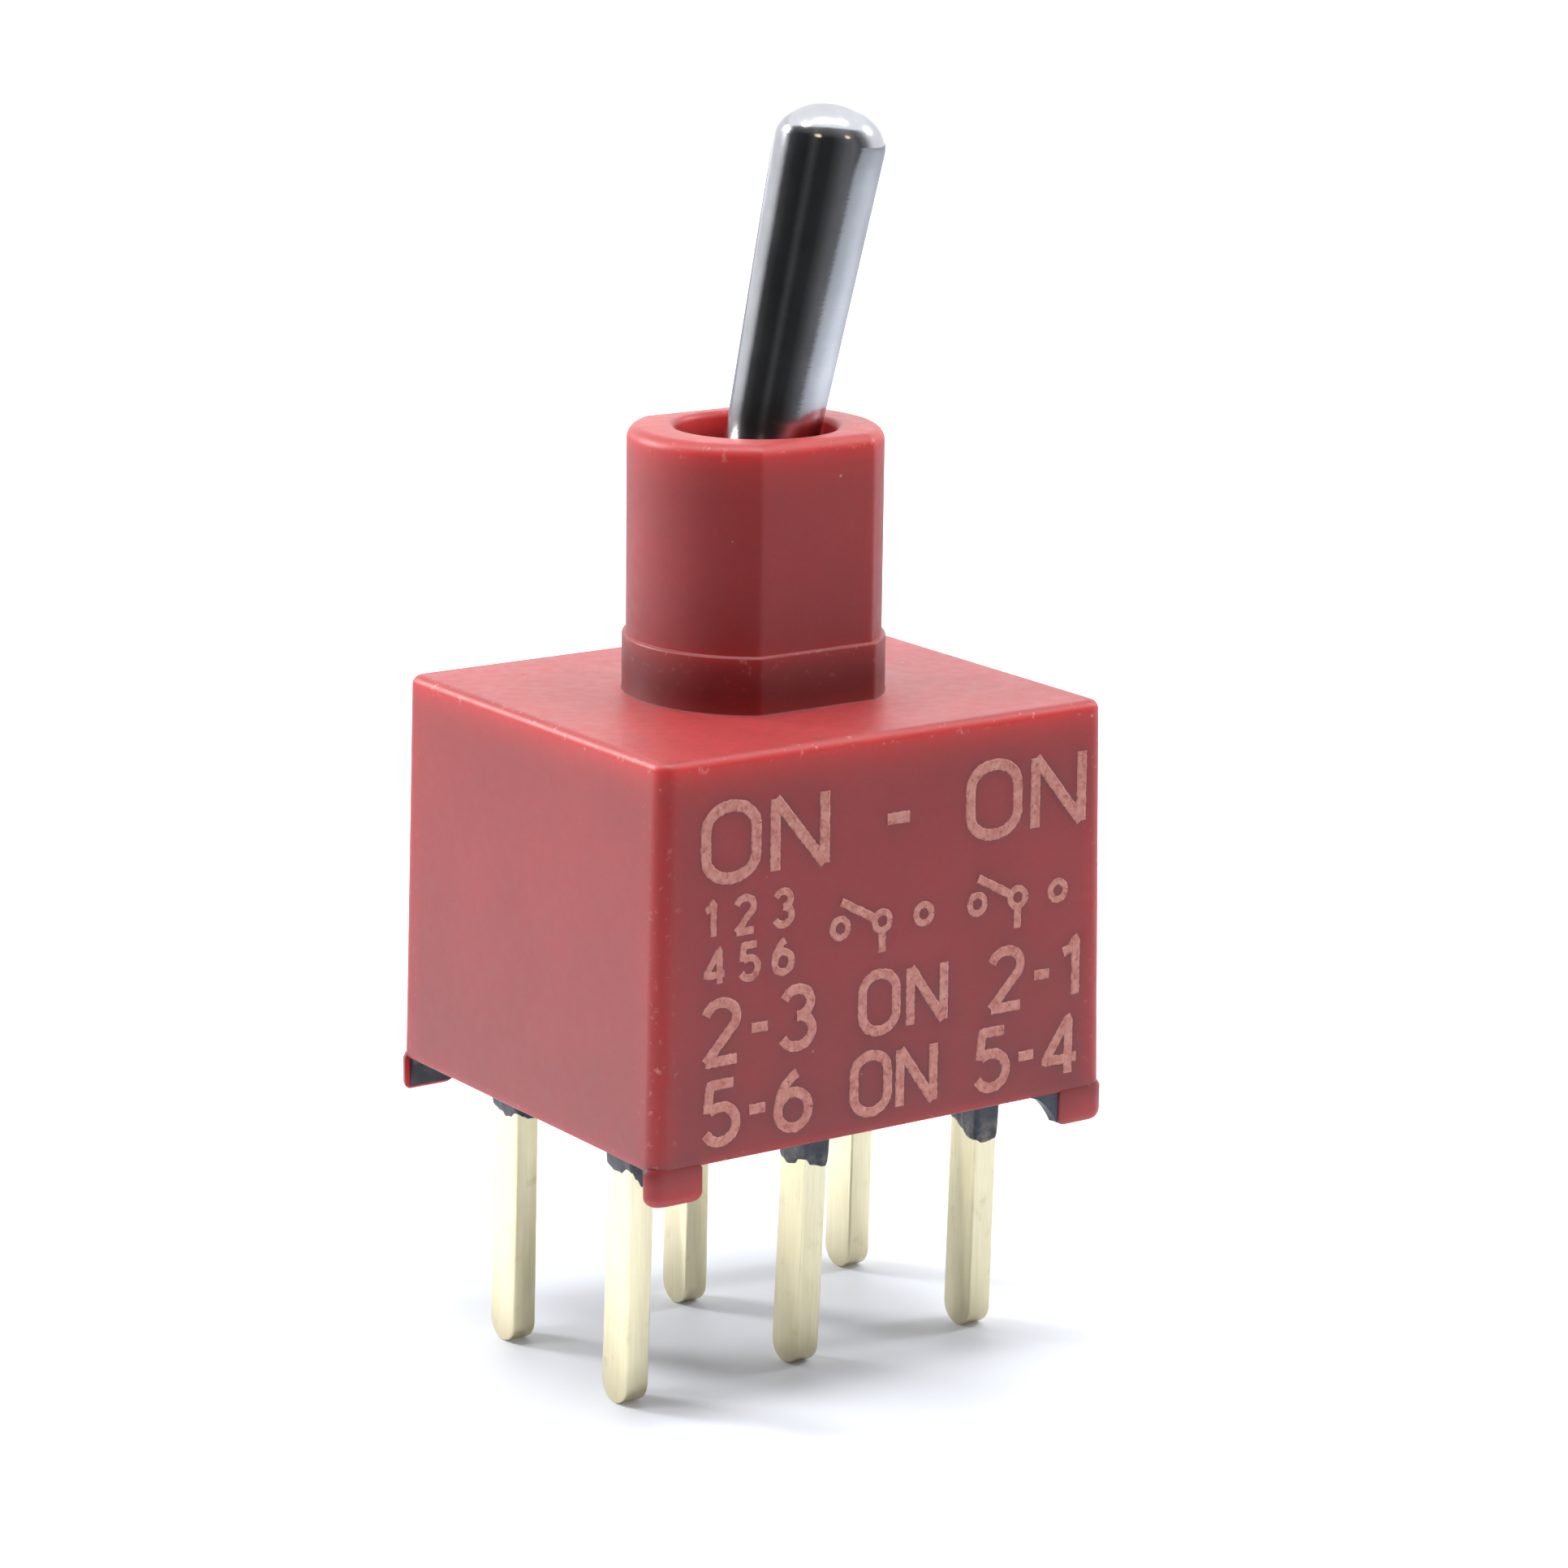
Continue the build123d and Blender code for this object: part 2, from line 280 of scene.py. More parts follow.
def round_steps(radius, steps=6):
    """Insets and rises of a quarter round that starts on the upright side."""
    turns = [math.pi / 2 * i / steps for i in range(steps + 1)]
    return [(radius * (1 - math.cos(t)), radius * math.sin(t)) for t in turns]


# ======================= case =======================

def wall_reach(angle, z, inset=0.0):
    """The outer wall at a height, with its draft."""
    half_x = CASE_X - (z - CASE_BOTTOM) * DRAFT_X - inset
    half_y = CASE_Y - (z - CASE_BOTTOM) * DRAFT_Y - inset
    return box_radius(angle, half_x, half_y, CORNER - inset)


def case_rings():
    """Rings up the outside of the case, over the rim and down the inside, each with how worn and
    how edge-lit it is.
    """
    rings = []

    def add(reach, z, wear_and_edge_light=0.0):
        rings.append((polar_ring(reach, z), wear_and_edge_light))

    def wall(z, inset=0.0, wear_and_edge_light=0.0):
        add(lambda a: wall_reach(a, z, inset), z, wear_and_edge_light)

    def flats(radius, flat, z, inset=0.0, wear_and_edge_light=0.0):
        add(lambda a: flatted_radius(a, radius - inset, flat - inset), z, wear_and_edge_light)

    def circle(radius, z, wear_and_edge_light=0.0):
        add(lambda a: radius, z, wear_and_edge_light)

    def chamber(size, z):
        add(lambda a: box_radius(a, size[0], size[1], INNER_CORNER), z)

    for inset, rise in reversed(round_steps(BOTTOM_ROUND, 3)):
        wall(CASE_BOTTOM + BOTTOM_ROUND - rise, inset, 0.6)
    shoulder = CASE_TOP - TOP_ROUND
    for z in (1.0, 2.0, 4.0, 6.0, 8.0, 9.0, shoulder - 0.12):
        wall(z)
    for inset, rise in round_steps(TOP_ROUND, 8):
        z = shoulder + rise
        add(lambda a, i=inset: wall_reach(a, shoulder, i), z, 1.0)
    add(lambda a: wall_reach(a, shoulder, TOP_ROUND) - 0.10, CASE_TOP, 0.3)
    add(lambda a: 0.5 * (wall_reach(a, shoulder, TOP_ROUND) + COLLAR_R), CASE_TOP)
    for inset, rise in reversed(round_steps(COLLAR_FILLET, 4)):
        flats(COLLAR_R, COLLAR_FLAT, CASE_TOP + COLLAR_FILLET - rise, -inset)
    flats(COLLAR_R, COLLAR_FLAT, CASE_TOP + 0.3)
    for inset, rise in round_steps(COLLAR_ROUND, 4):
        flats(COLLAR_R, COLLAR_FLAT, COLLAR_TOP - COLLAR_ROUND + rise, inset, 0.5)
    flats(BUSHING_R, BUSHING_FLAT, COLLAR_TOP, -TIGHT)
    flats(BUSHING_R, BUSHING_FLAT, COLLAR_TOP + TIGHT)
    for z in (11.2, 12.5, 14.0, 15.0, BUSHING_TOP - RIM_ROUND - 0.1):
        flats(BUSHING_R, BUSHING_FLAT, z)
    for inset, rise in round_steps(RIM_ROUND, 8):
        flats(BUSHING_R, BUSHING_FLAT, BUSHING_TOP - RIM_ROUND + rise, inset, 0.7)
    circle(MOUTH_R + LIP_ROUND + 0.05, BUSHING_TOP, 0.2)
    for inset, rise in reversed(round_steps(LIP_ROUND, 6)):
        circle(MOUTH_R + inset, BUSHING_TOP - LIP_ROUND + rise, 0.5)
    circle(MOUTH_R, BUSHING_TOP - 0.8)
    circle(MOUTH_R, MOUTH_BOTTOM)
    circle(BORE_R, MOUTH_BOTTOM)
    circle(BORE_R, COLLAR_TOP)
    circle(STEM_BORE_R, COLLAR_TOP)
    circle(STEM_BORE_R, CHAMBER_TOP)
    chamber(CHAMBER, CHAMBER_TOP)
    chamber(CHAMBER, RECESS_TOP)
    chamber(RECESS, RECESS_TOP)
    chamber(RECESS, CASE_BOTTOM)
    return rings


def corner_wear_and_edge_light(angle):
    """1 on the case's four upright edges, fading to 0 within 3.5 degrees of them."""
    from_x = abs(math.degrees(angle)) % 180
    from_x = min(from_x, 180 - from_x)
    return max(0.0, 1 - abs(from_x - CORNER_TURN) / 3.5)


def make_case(material):
    """The moulding's shell: one closed sheet of rings."""
    rings = case_rings()
    points, faces = loft([ring for ring, wear_and_edge_light in rings], closed=True)
    piece = add_mesh("case_shell", points, faces, material, "housing")
    wear_and_edge_light_values = []
    for ring, wear_and_edge_light in rings:
        outer = ring[0][0] > CASE_X - 0.5
        wear_and_edge_light_values += [max(wear_and_edge_light, corner_wear_and_edge_light(a) if outer else 0.0) for a in ANGLES]
    fill_wear_and_edge_light(piece, wear_and_edge_light_values)
    face_out(piece)
    sharpen(piece, 35)
    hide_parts("case")


def foot_outline(inset_x, inset_y):
    """The plan of the +X +Y foot, shrunk on each side, with a large round at the case's corner."""
    low_x, high_x = FOOT_X[0] + inset_x, FOOT_X[1] - inset_x
    low_y, high_y = FOOT_Y[0] + inset_y, FOOT_Y[1] - inset_y
    outer_x = FOOT_X[1] - CORNER - 0.3 * inset_x
    outer_y = low_y + 0.02
    small = 0.04
    outline = []
    for x, y, round_x, round_y, start in (
            (outer_x, outer_y, high_x - outer_x, high_y - outer_y, 0),
            (low_x + small, high_y - small, small, small, 90),
            (low_x + small, low_y + small, small, small, 180),
            (high_x - 0.02, low_y + 0.01, 0.02, 0.01, 270)):
        for i in range(13):
            turn = math.radians(start + 90 * i / 12)
            outline.append((x + round_x * math.cos(turn), y + round_y * math.sin(turn)))
    return outline


CORNERS = (("front_left", -1, -1), ("front_right", 1, -1),
           ("back_left", -1, 1), ("back_right", 1, 1))


def make_feet(material):
    """The four stand-off feet under the case's corners, with softly rounded soles."""
    sole = 0.24
    # Insets along x and y, and a height: the sole's round, the upright, and its run into the wall.
    levels = [(i, i / 2, sole - rise) for i, rise in reversed(round_steps(sole, 9))]
    levels += [(0.0, 0.0, 0.50), (0.0, 0.0, CASE_BOTTOM - 0.03), (0.02, 0.008, CASE_BOTTOM),
               (0.064, 0.024, CASE_BOTTOM + 0.07)]
    for name, sx, sy in CORNERS:
        rings = [[(sx * x, sy * y, z) for x, y in foot_outline(i, j)] for i, j, z in levels]
        points, faces = capped_loft(rings)
        piece = add_mesh("foot_" + name, points, faces, material, "housing")
        wear_and_edge_light_values = []
        for x, y, z in points:
            ridge = abs(z - CASE_BOTTOM) < 0.01 and abs(y) > 5.2
            wear_and_edge_light_values.append(1.0 if ridge and sy < 0 else 0.3 if z < sole else 0.0)
        fill_wear_and_edge_light(piece, wear_and_edge_light_values)
        face_out(piece)
        sharpen(piece, 50)


# ======================= lever =======================

def lever_profile():
    """Radius and height pairs from the lever's tip down to the end of its stem."""
    profile = []
    shoulder = LEVER_TIP - DOME
    for i in range(25):
        turn = math.pi / 2 * (1 - i / 24)
        radius = TIP_R * math.cos(turn) ** 0.93
        profile.append((radius, shoulder + DOME * math.sin(turn) ** 1.06))
    foot_r = NECK_R + FLARE
    foot_z = math.sqrt(BALL_R ** 2 - foot_r ** 2)
    neck_z = foot_z + FLARE_RISE
    for i in range(1, 13):
        t = i / 12
        profile.append((TIP_R + (NECK_R - TIP_R) * t, shoulder + (neck_z - shoulder) * t))
    profile.append((foot_r, foot_z))
    start = math.asin(foot_z / BALL_R)
    stop = -math.acos(STEM_R / BALL_R)
    for i in range(1, 41):
        turn = start + (stop - start) * i / 40
        radius, z = BALL_R * math.cos(turn), BALL_R * math.sin(turn)
        if abs(z) < GROOVE_HALF:
            radius = min(radius, BALL_R - GROOVE_DEPTH)
        profile.append((radius, z))
    profile.append((STEM_R, -STEM_END))
    return profile


def on_lever(point):
    """A point drawn with the pivot at the origin and the lever upright, where the lever rests."""
    tilt = math.atan2(LEVER_AXIS.x, LEVER_AXIS.z)
    turned = Matrix.Rotation(tilt, 3, "Y") @ Vector(point)
    return turned + Vector((0, 0, PIVOT_Z))


def make_lever(material):
    """The plated lever: turned shank, ball and stem, and the two-sided tang below."""
    sides = 160
    turns = [2 * math.pi * i / sides for i in range(sides)]
    rings = [[(r * math.cos(t), r * math.sin(t), z) for t in turns] for r, z in lever_profile()]
    for z in (-STEM_END, -TANG_END):
        ring = [(STEM_R * math.cos(t), STEM_R * math.sin(t), z) for t in turns]
        rings.append([(max(-TANG_HALF, min(TANG_HALF, x)), y, z) for x, y, z in ring])
    points, faces = loft(rings, closed=False)
    faces.append(tuple(range(len(points) - sides, len(points))))
    piece = add_mesh("lever_plated", [on_lever(p) for p in points], faces, material, "lever")
    shape = bmesh.new()
    shape.from_mesh(piece.data)
    bmesh.ops.remove_doubles(shape, verts=shape.verts, dist=0.0005 * MM)
    shape.to_mesh(piece.data)
    shape.free()
    face_out(piece)
    sharpen(piece, 40)
    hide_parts("toggle_lever")


# ======================= potting =======================

def make_potting(material):
    """The cast slab under the base, with a soft rim where it meets the case."""
    rings = []
    for inset, z in ((0.0, POTTING_TOP), (0.0, CASE_BOTTOM + 0.02), (0.05, POTTING_BOTTOM - 0.02),
                     (0.16, POTTING_BOTTOM), (0.6, POTTING_BOTTOM)):
        reach = lambda a, i=inset: box_radius(a, RECESS[0] - i, RECESS[1] - i, INNER_CORNER)
        rings.append(polar_ring(reach, z))
    points, faces = capped_loft(rings)
    piece = add_mesh("potting_slab", points, faces, material, "housing")
    face_out(piece)
    sharpen(piece, 40)
    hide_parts("epoxy_seal")


def creep_edge(turn, stations, seed):
    """The height at which the potting on a terminal ends, at one side of it."""
    degrees = math.degrees(turn) % 360
    degrees += 360 if degrees < stations[0][0] else 0
    ring = list(stations) + [(stations[0][0] + 360, stations[0][1])]
    height = ring[0][1]
    for (a, low), (b, high) in zip(ring, ring[1:]):
        if a <= degrees <= b:
            t = (degrees - a) / (b - a)
            height = low + (high - low) * (0.5 - 0.5 * math.cos(math.pi * t))
    spot = Vector((math.cos(turn) * 2.5, math.sin(turn) * 2.5, seed))
    return height + SLEEVE_RAGGED[0] * noise.noise(spot) + SLEEVE_RAGGED[1] * noise.noise(spot * 3)


def make_creep(row, column, stations, seed, material):
    """One uneven sleeve of potting down a terminal's root."""
    side, lean = ROWS[row], LEANS[row][column]
    turns = [2 * math.pi * i / 144 for i in range(144)]
    ends = [creep_edge(turn, stations, seed) for turn in turns]
    top = POTTING_BOTTOM + 0.01

    def spot(turn, grow, z):
        radius = box_radius(turn, PIN_X + grow, PIN_Y + grow, 0.05 + max(grow, 0))
        x = COLUMNS[column] * PIN_PITCH - lean * (LEAN_START - z)
        y = side * PIN_ROW + lean * (LEAN_START - z)
        return (x + radius * math.cos(turn), y + radius * math.sin(turn), z)

    rings = []
    steps = 18
    for step in range(steps + 1):
        t = step / steps
        ring = []
        for turn, end in zip(turns, ends):
            z = top + (end - top) * t
            wave = noise.noise(Vector((math.cos(turn) * 2, math.sin(turn) * 2, seed + 5 + z)))
            flare = SLEEVE_FLARE * math.exp(-(top - z) / SLEEVE_FADE)
            thick = (flare + SLEEVE * math.sqrt(1 - t ** 10)) * (1 + 0.4 * wave)
            ring.append(spot(turn, thick - SKIN, z))
        rings.append(ring)
    rings.append([spot(turn, -SUNK, end + 0.15) for turn, end in zip(turns, ends)])
    rings.append([spot(turn, -SUNK, top + 0.01) for turn in turns])
    points, faces = loft(rings, closed=True)
    piece = add_mesh("creep_" + column + "_" + row, points, faces, material, "housing")
    face_out(piece)
    sharpen(piece, 70)


def make_foot_fillet(name, sx, sy, end_spread, seed, material):
    """Potting drawn down the inner sides of a foot, hollow-faced against the case.

    The path runs along the foot's inner long side and then, where end_spread isn't 0, round its
    end. Each step has a place, the way outwards and how far the potting spreads there.
    """
    x0, x1, y0, y1 = FOOT_X[0], FOOT_X[1] - 0.13, FOOT_Y[0], FOOT_Y[1] - 0.05
    side_spread, turn_spread = 0.30, 0.35
    path = []
    for i in range(31):
        t = i / 30
        spread = side_spread * min(1.0, 6 * (1.03 - t)) + 0.06 * t
        path.append(((x1 + (x0 - x1) * t, y0), (0, -1), spread))
    if end_spread:
        for i in range(1, 13):
            turn = math.radians(90 * i / 12)
            spread = turn_spread + (end_spread - turn_spread) * i / 12
            path.append(((x0, y0), (-math.sin(turn), -math.cos(turn)), spread))
        path += [((x0, y0 + (y1 - y0) * i / 8), (-1, 0), end_spread) for i in range(1, 9)]
    rings = []
    for number, ((x, y), (out_x, out_y), spread) in enumerate(path):
        wave = noise.noise(Vector((x * 1.7 + number * 0.05, y * 1.7, seed)))
        low = 0.10 + 0.08 * (wave + 0.3)
        reach = spread * (1 + 0.25 * wave)
        ring = [(x - 0.02 * out_x, y - 0.02 * out_y, low + 0.02)]
        for i in range(13):
            t = i / 12
            out = 0.012 + reach * (0.5 * t + 0.5 * (1 - math.sqrt(1 - t * t)))
            ring.append((x + out * out_x, y + out * out_y, low + (CASE_BOTTOM + 0.005 - low) * t))
        ring.append((x - 0.02 * out_x, y - 0.02 * out_y, CASE_BOTTOM + 0.01))
        rings.append([(sx * u, sy * v, z) for u, v, z in ring])
    points, faces = capped_loft(rings)
    piece = add_mesh("creep_foot_" + name, points, faces, material, "housing")
    face_out(piece)
    sharpen(piece, 60)


# ======================= terminals =======================

def make_terminal(row, column, material):
    """A CAD terminal's shape with a leaning leg and softly rounded edges."""
    node = "terminal_" + column + "_" + row
    lean = LEANS[row][column]
    shape = bmesh.new()
    shape.from_mesh(frame["nodes"][node].data)
    bmesh.ops.remove_doubles(shape, verts=shape.verts, dist=0.001 * MM)
    bmesh.ops.dissolve_limit(shape, angle_limit=math.radians(1), verts=shape.verts,
                             edges=shape.edges)
    for vert in shape.verts:
        below = max(LEAN_START * MM - vert.co.z, 0)
        vert.co.x -= lean * below
        vert.co.y += lean * below
    mesh = bpy.data.meshes.new(node + "_leg")
    shape.to_mesh(mesh)
    shape.free()
    mesh.materials.clear()
    mesh.materials.append(material)
    mesh.polygons.foreach_set("use_smooth", [True] * len(mesh.polygons))
    piece = new_object(node + "_leg", mesh)
    bevel = piece.modifiers.new("bevel", "BEVEL")
    bevel.width = PIN_ROUND * MM
    bevel.segments = 3
    bevel.limit_method = "ANGLE"
    bevel.angle_limit = math.radians(35)
    bevel.harden_normals = True
    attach(piece, "housing")
    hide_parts(node)


# ======================= springs =======================

def make_spring(row, material):
    """A CAD spring's shape, riding on the lever."""
    node, slide = "spring_" + row, "plunger_" + row + "_slide"
    mesh = frame["nodes"][node].data.copy()
    mesh.name = node + "_coil"
    mesh.materials.clear()
    mesh.materials.append(material)
    piece = new_object(node + "_coil", mesh)
    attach(piece, "lever")
    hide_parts(node)
    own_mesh(piece)


# ======================= marking =======================

def arc(cx, cy, rx, ry, start, stop, steps=10):
    """Points along part of an ellipse, angles in degrees."""
    turns = [math.radians(start + (stop - start) * i / steps) for i in range(steps + 1)]
    return [(cx + rx * math.cos(t), cy + ry * math.sin(t)) for t in turns]


# Each glyph is a width and its strokes, in units of the letter's height.
GLYPHS = {
    "O": (0.56, [arc(0.28, 0.70, 0.28, 0.30, 0, 180) + arc(0.28, 0.30, 0.28, 0.30, 180, 360)
                 + [(0.56, 0.70)]]),
    "N": (0.56, [[(0, 0), (0, 1)], [(0, 1), (0.56, 0)], [(0.56, 0), (0.56, 1)]]),
    "-": (0.26, [[(0, 0.46), (0.26, 0.46)]]),
    "1": (0.26, [[(0, 0.78), (0.14, 0.84), (0.22, 1), (0.22, 0)]]),
    "2": (0.50, [arc(0.25, 0.74, 0.25, 0.26, 165, -35) + [(0, 0.0)], [(0, 0), (0.50, 0)]]),
    "3": (0.50, [arc(0.24, 0.76, 0.22, 0.24, 160, -90), arc(0.24, 0.27, 0.25, 0.27, 90, -160)]),
    "4": (0.54, [[(0.40, 0), (0.40, 1), (0, 0.27), (0.54, 0.27)]]),
    "5": (0.50, [[(0.45, 1), (0.08, 1), (0.04, 0.53)],
                 arc(0.24, 0.31, 0.26, 0.31, 130, -155)]),
    "6": (0.50, [arc(0.25, 0.31, 0.25, 0.31, 0, 360, 18),
                 arc(0.50, 0.31, 0.50, 0.69, 180, 112, 8)]),
}


# Across a marked stroke: how far out of its middle, and how much of the full height.
STROKE = ((-1.0, 0.0), (-0.72, 1.0), (-0.25, 0.8), (0.25, 0.8), (0.72, 1.0), (1.0, 0.0))
# The length of a stroke's steps, how far its sides wander, its height and how uneven that is.
STROKE_STEP = 0.04
STROKE_RAGGED = 0.022
STROKE_HEIGHT = 0.011
STROKE_GRAIN = 0.009


def ribbon(points, width, seed):
    """A low raised band along a line, crumbly on top and ragged at its sides."""
    path = []
    for (x0, z0), (x1, z1) in zip(points, points[1:]):
        length = math.hypot(x1 - x0, z1 - z0)
        cuts = max(1, round(length / STROKE_STEP))
        path += [(x0 + (x1 - x0) * i / cuts, z0 + (z1 - z0) * i / cuts) for i in range(cuts)]
    path.append(points[-1])
    strips = [[] for step in STROKE]
    for i, (x, z) in enumerate(path):
        ahead = path[min(i + 1, len(path) - 1)]
        behind = path[max(i - 1, 0)]
        run = Vector((ahead[0] - behind[0], ahead[1] - behind[1])).normalized()
        for (across, rise), strip in zip(STROKE, strips):
            grain = noise.noise(Vector((x * 11, z * 11, seed + across * 2)))
            half = across * width / 2 + STROKE_RAGGED * grain
            crumbs = noise.noise(Vector((x * 16, z * 16, seed + across)))
            height = rise * (STROKE_HEIGHT + STROKE_GRAIN * crumbs)
            strip.append((x + run.y * half, z - run.x * half, height))
    count = len(path)
    faces = []
    for side in range(len(STROKE) - 1):
        low = side * count
        faces += [(low + i, low + i + 1, low + count + i + 1, low + count + i)
                  for i in range(count - 1)]
    return [p for strip in strips for p in strip], faces


def mark_strokes():
    """Every stroke on the marked face as (points, width) in the face's own x and z."""
    strokes = []

    def write(text, left, right, z, height, width, stretch):
        """Letters spread evenly from left to right."""
        wide = [0.42 * height if c == " " else GLYPHS[c][0] * height * stretch for c in text]
        gap = (right - left - sum(wide)) / (len(text) - 1)
        x = left
        for letter, advance in zip(text, wide):
            for line in () if letter == " " else GLYPHS[letter][1]:
                placed = [(x + height * stretch * u, z + height * v) for u, v in line]
                strokes.append((placed, width))
            x += advance + gap

    def changeover(x, z, size, side):
        """The plain wiring sign of a two-way contact: three dots, and a blade to one of them."""
        dot = 0.15 * size
        for dx in (-0.8, 0.0, 0.8):
            ring = arc(x + dx * size, z, dot, dot, 0, 360, 12)
            strokes.append((ring, 0.16))
        blade = [(x + side * dot, z + 0.10), (x + side * (0.8 * size - 0.02), z + 0.42 * size)]
        strokes.append((blade, 0.20))
        strokes.append(([(x, z - dot), (x, z - 0.50 * size)], 0.20))

    left, middle, right = -4.78, -2.55, 5.28
    write("ON - ON", left, right, 7.08, 1.59, 0.27, 1.45)
    write("1 2 3", left, middle, 5.86, 0.74, 0.17, 1.2)
    write("4 5 6", left, middle, 4.80, 0.74, 0.17, 1.2)
    changeover(-0.15, 5.55, 1.40, -1)
    changeover(3.55, 5.55, 1.40, -1)
    write("2-3 ON 2-1", left, right, 3.07, 1.30, 0.24, 1.25)
    write("5-6 ON 5-4", left, right, 1.25, 1.30, 0.24, 1.25)
    return strokes


def make_marking(material):
    """The laser-marked signs on the front wall, standing a little out of its surface."""
    points, faces = [], []
    for number, (line, width) in enumerate(mark_strokes()):
        band, quads = ribbon(line, width, number * 7.0)
        start = len(points)
        for x, z, height in band:
            points.append((x, -(CASE_Y - (z - CASE_BOTTOM) * DRAFT_Y) - height + 0.001, z))
        faces += [tuple(start + i for i in quad) for quad in quads]
    piece = add_mesh("marking", points, faces, material, "housing", smooth=False)


# ======================= materials =======================

class Nodes:
    """Short names for making and joining shader nodes."""

    def __init__(self, name):
        self.material = bpy.data.materials.new(name)
        self.material.use_nodes = True
        self.tree = self.material.node_tree
        self.shader = self.tree.nodes["Principled BSDF"]
        place = self.add("ShaderNodeTexCoord").outputs["Object"]
        scale = self.add("ShaderNodeVectorMath", operation="SCALE")
        scale.inputs["Scale"].default_value = 1 / MM
        self.link(place, scale.inputs[0])
        self.mm = scale.outputs[0]

    def add(self, kind, **settings):
        node = self.tree.nodes.new(kind)
        for key, value in settings.items():
            setattr(node, key, value)
        return node

    def link(self, output, socket):
        self.tree.links.new(output, socket)

    def put(self, socket, value):
        """Join an output, or write a plain value, to a socket."""
        if isinstance(value, bpy.types.NodeSocket):
            self.link(value, socket)
        else:
            socket.default_value = value

    def stretch(self, x, y, z):
        """The place in millimetres, stretched along each axis."""
        node = self.add("ShaderNodeVectorMath", operation="MULTIPLY")
        self.link(self.mm, node.inputs[0])
        node.inputs[1].default_value = (x, y, z)
        return node.outputs[0]

    def level(self):
        """The height in millimetres."""
        split = self.add("ShaderNodeSeparateXYZ")
        self.link(self.mm, split.inputs[0])
        return split.outputs["Z"]

    def noise(self, scale, detail=2.0, rough=0.5, vector=None):
        """Noise with about scale features in each millimetre."""
        node = self.add("ShaderNodeTexNoise")
        self.link(vector or self.mm, node.inputs["Vector"])
        node.inputs["Scale"].default_value = scale
        node.inputs["Detail"].default_value = detail
        node.inputs["Roughness"].default_value = rough
        return node.outputs["Fac"]

    def ramp(self, value, low, high, to_low=0.0, to_high=1.0):
        """Map low..high of a value to a new range, clamped."""
        node = self.add("ShaderNodeMapRange")
        self.put(node.inputs["Value"], value)
        node.inputs["From Min"].default_value = low
        node.inputs["From Max"].default_value = high
        node.inputs["To Min"].default_value = to_low
        node.inputs["To Max"].default_value = to_high
        return node.outputs["Result"]

    def curve(self, value, *stops):
        """Straight lines through (value, result) points, by a chain of clamped ramps."""
        total = stops[0][1]
        for (low, a), (high, b) in zip(stops, stops[1:]):
            total = self.math("ADD", self.ramp(value, low, high, 0.0, b - a), total)
        return total

    def math(self, operation, a, b):
        node = self.add("ShaderNodeMath", operation=operation)
        self.put(node.inputs[0], a)
        self.put(node.inputs[1], b)
        return node.outputs[0]

    def mix(self, amount, a, b):
        """Mix two colours."""
        node = self.add("ShaderNodeMix", data_type="RGBA")
        self.put(node.inputs["Factor"], amount)
        self.put(node.inputs["A"], a)
        self.put(node.inputs["B"], b)
        return node.outputs["Result"]

    def bump(self, height, strength, distance):
        """Bump from a height, with a distance in millimetres."""
        node = self.add("ShaderNodeBump")
        self.link(height, node.inputs["Height"])
        node.inputs["Strength"].default_value = strength
        node.inputs["Distance"].default_value = distance * MM
        self.link(node.outputs["Normal"], self.shader.inputs["Normal"])

    def finish(self, colour, roughness, **plain):
        """Join colour and roughness to the shader, and set the rest as plain values."""
        self.put(self.shader.inputs["Base Color"], colour)
        self.put(self.shader.inputs["Roughness"], roughness)
        for key, value in plain.items():
            self.shader.inputs[key.replace("_", " ")].default_value = value
        return self.material


def rgb(red, green, blue):
    """A colour given as 0-255 screen values, in linear light."""
    linear = [((c / 255 + 0.055) / 1.055) ** 2.4 if c > 10 else c / 255 / 12.92
              for c in (red, green, blue)]
    return (*linear, 1.0)


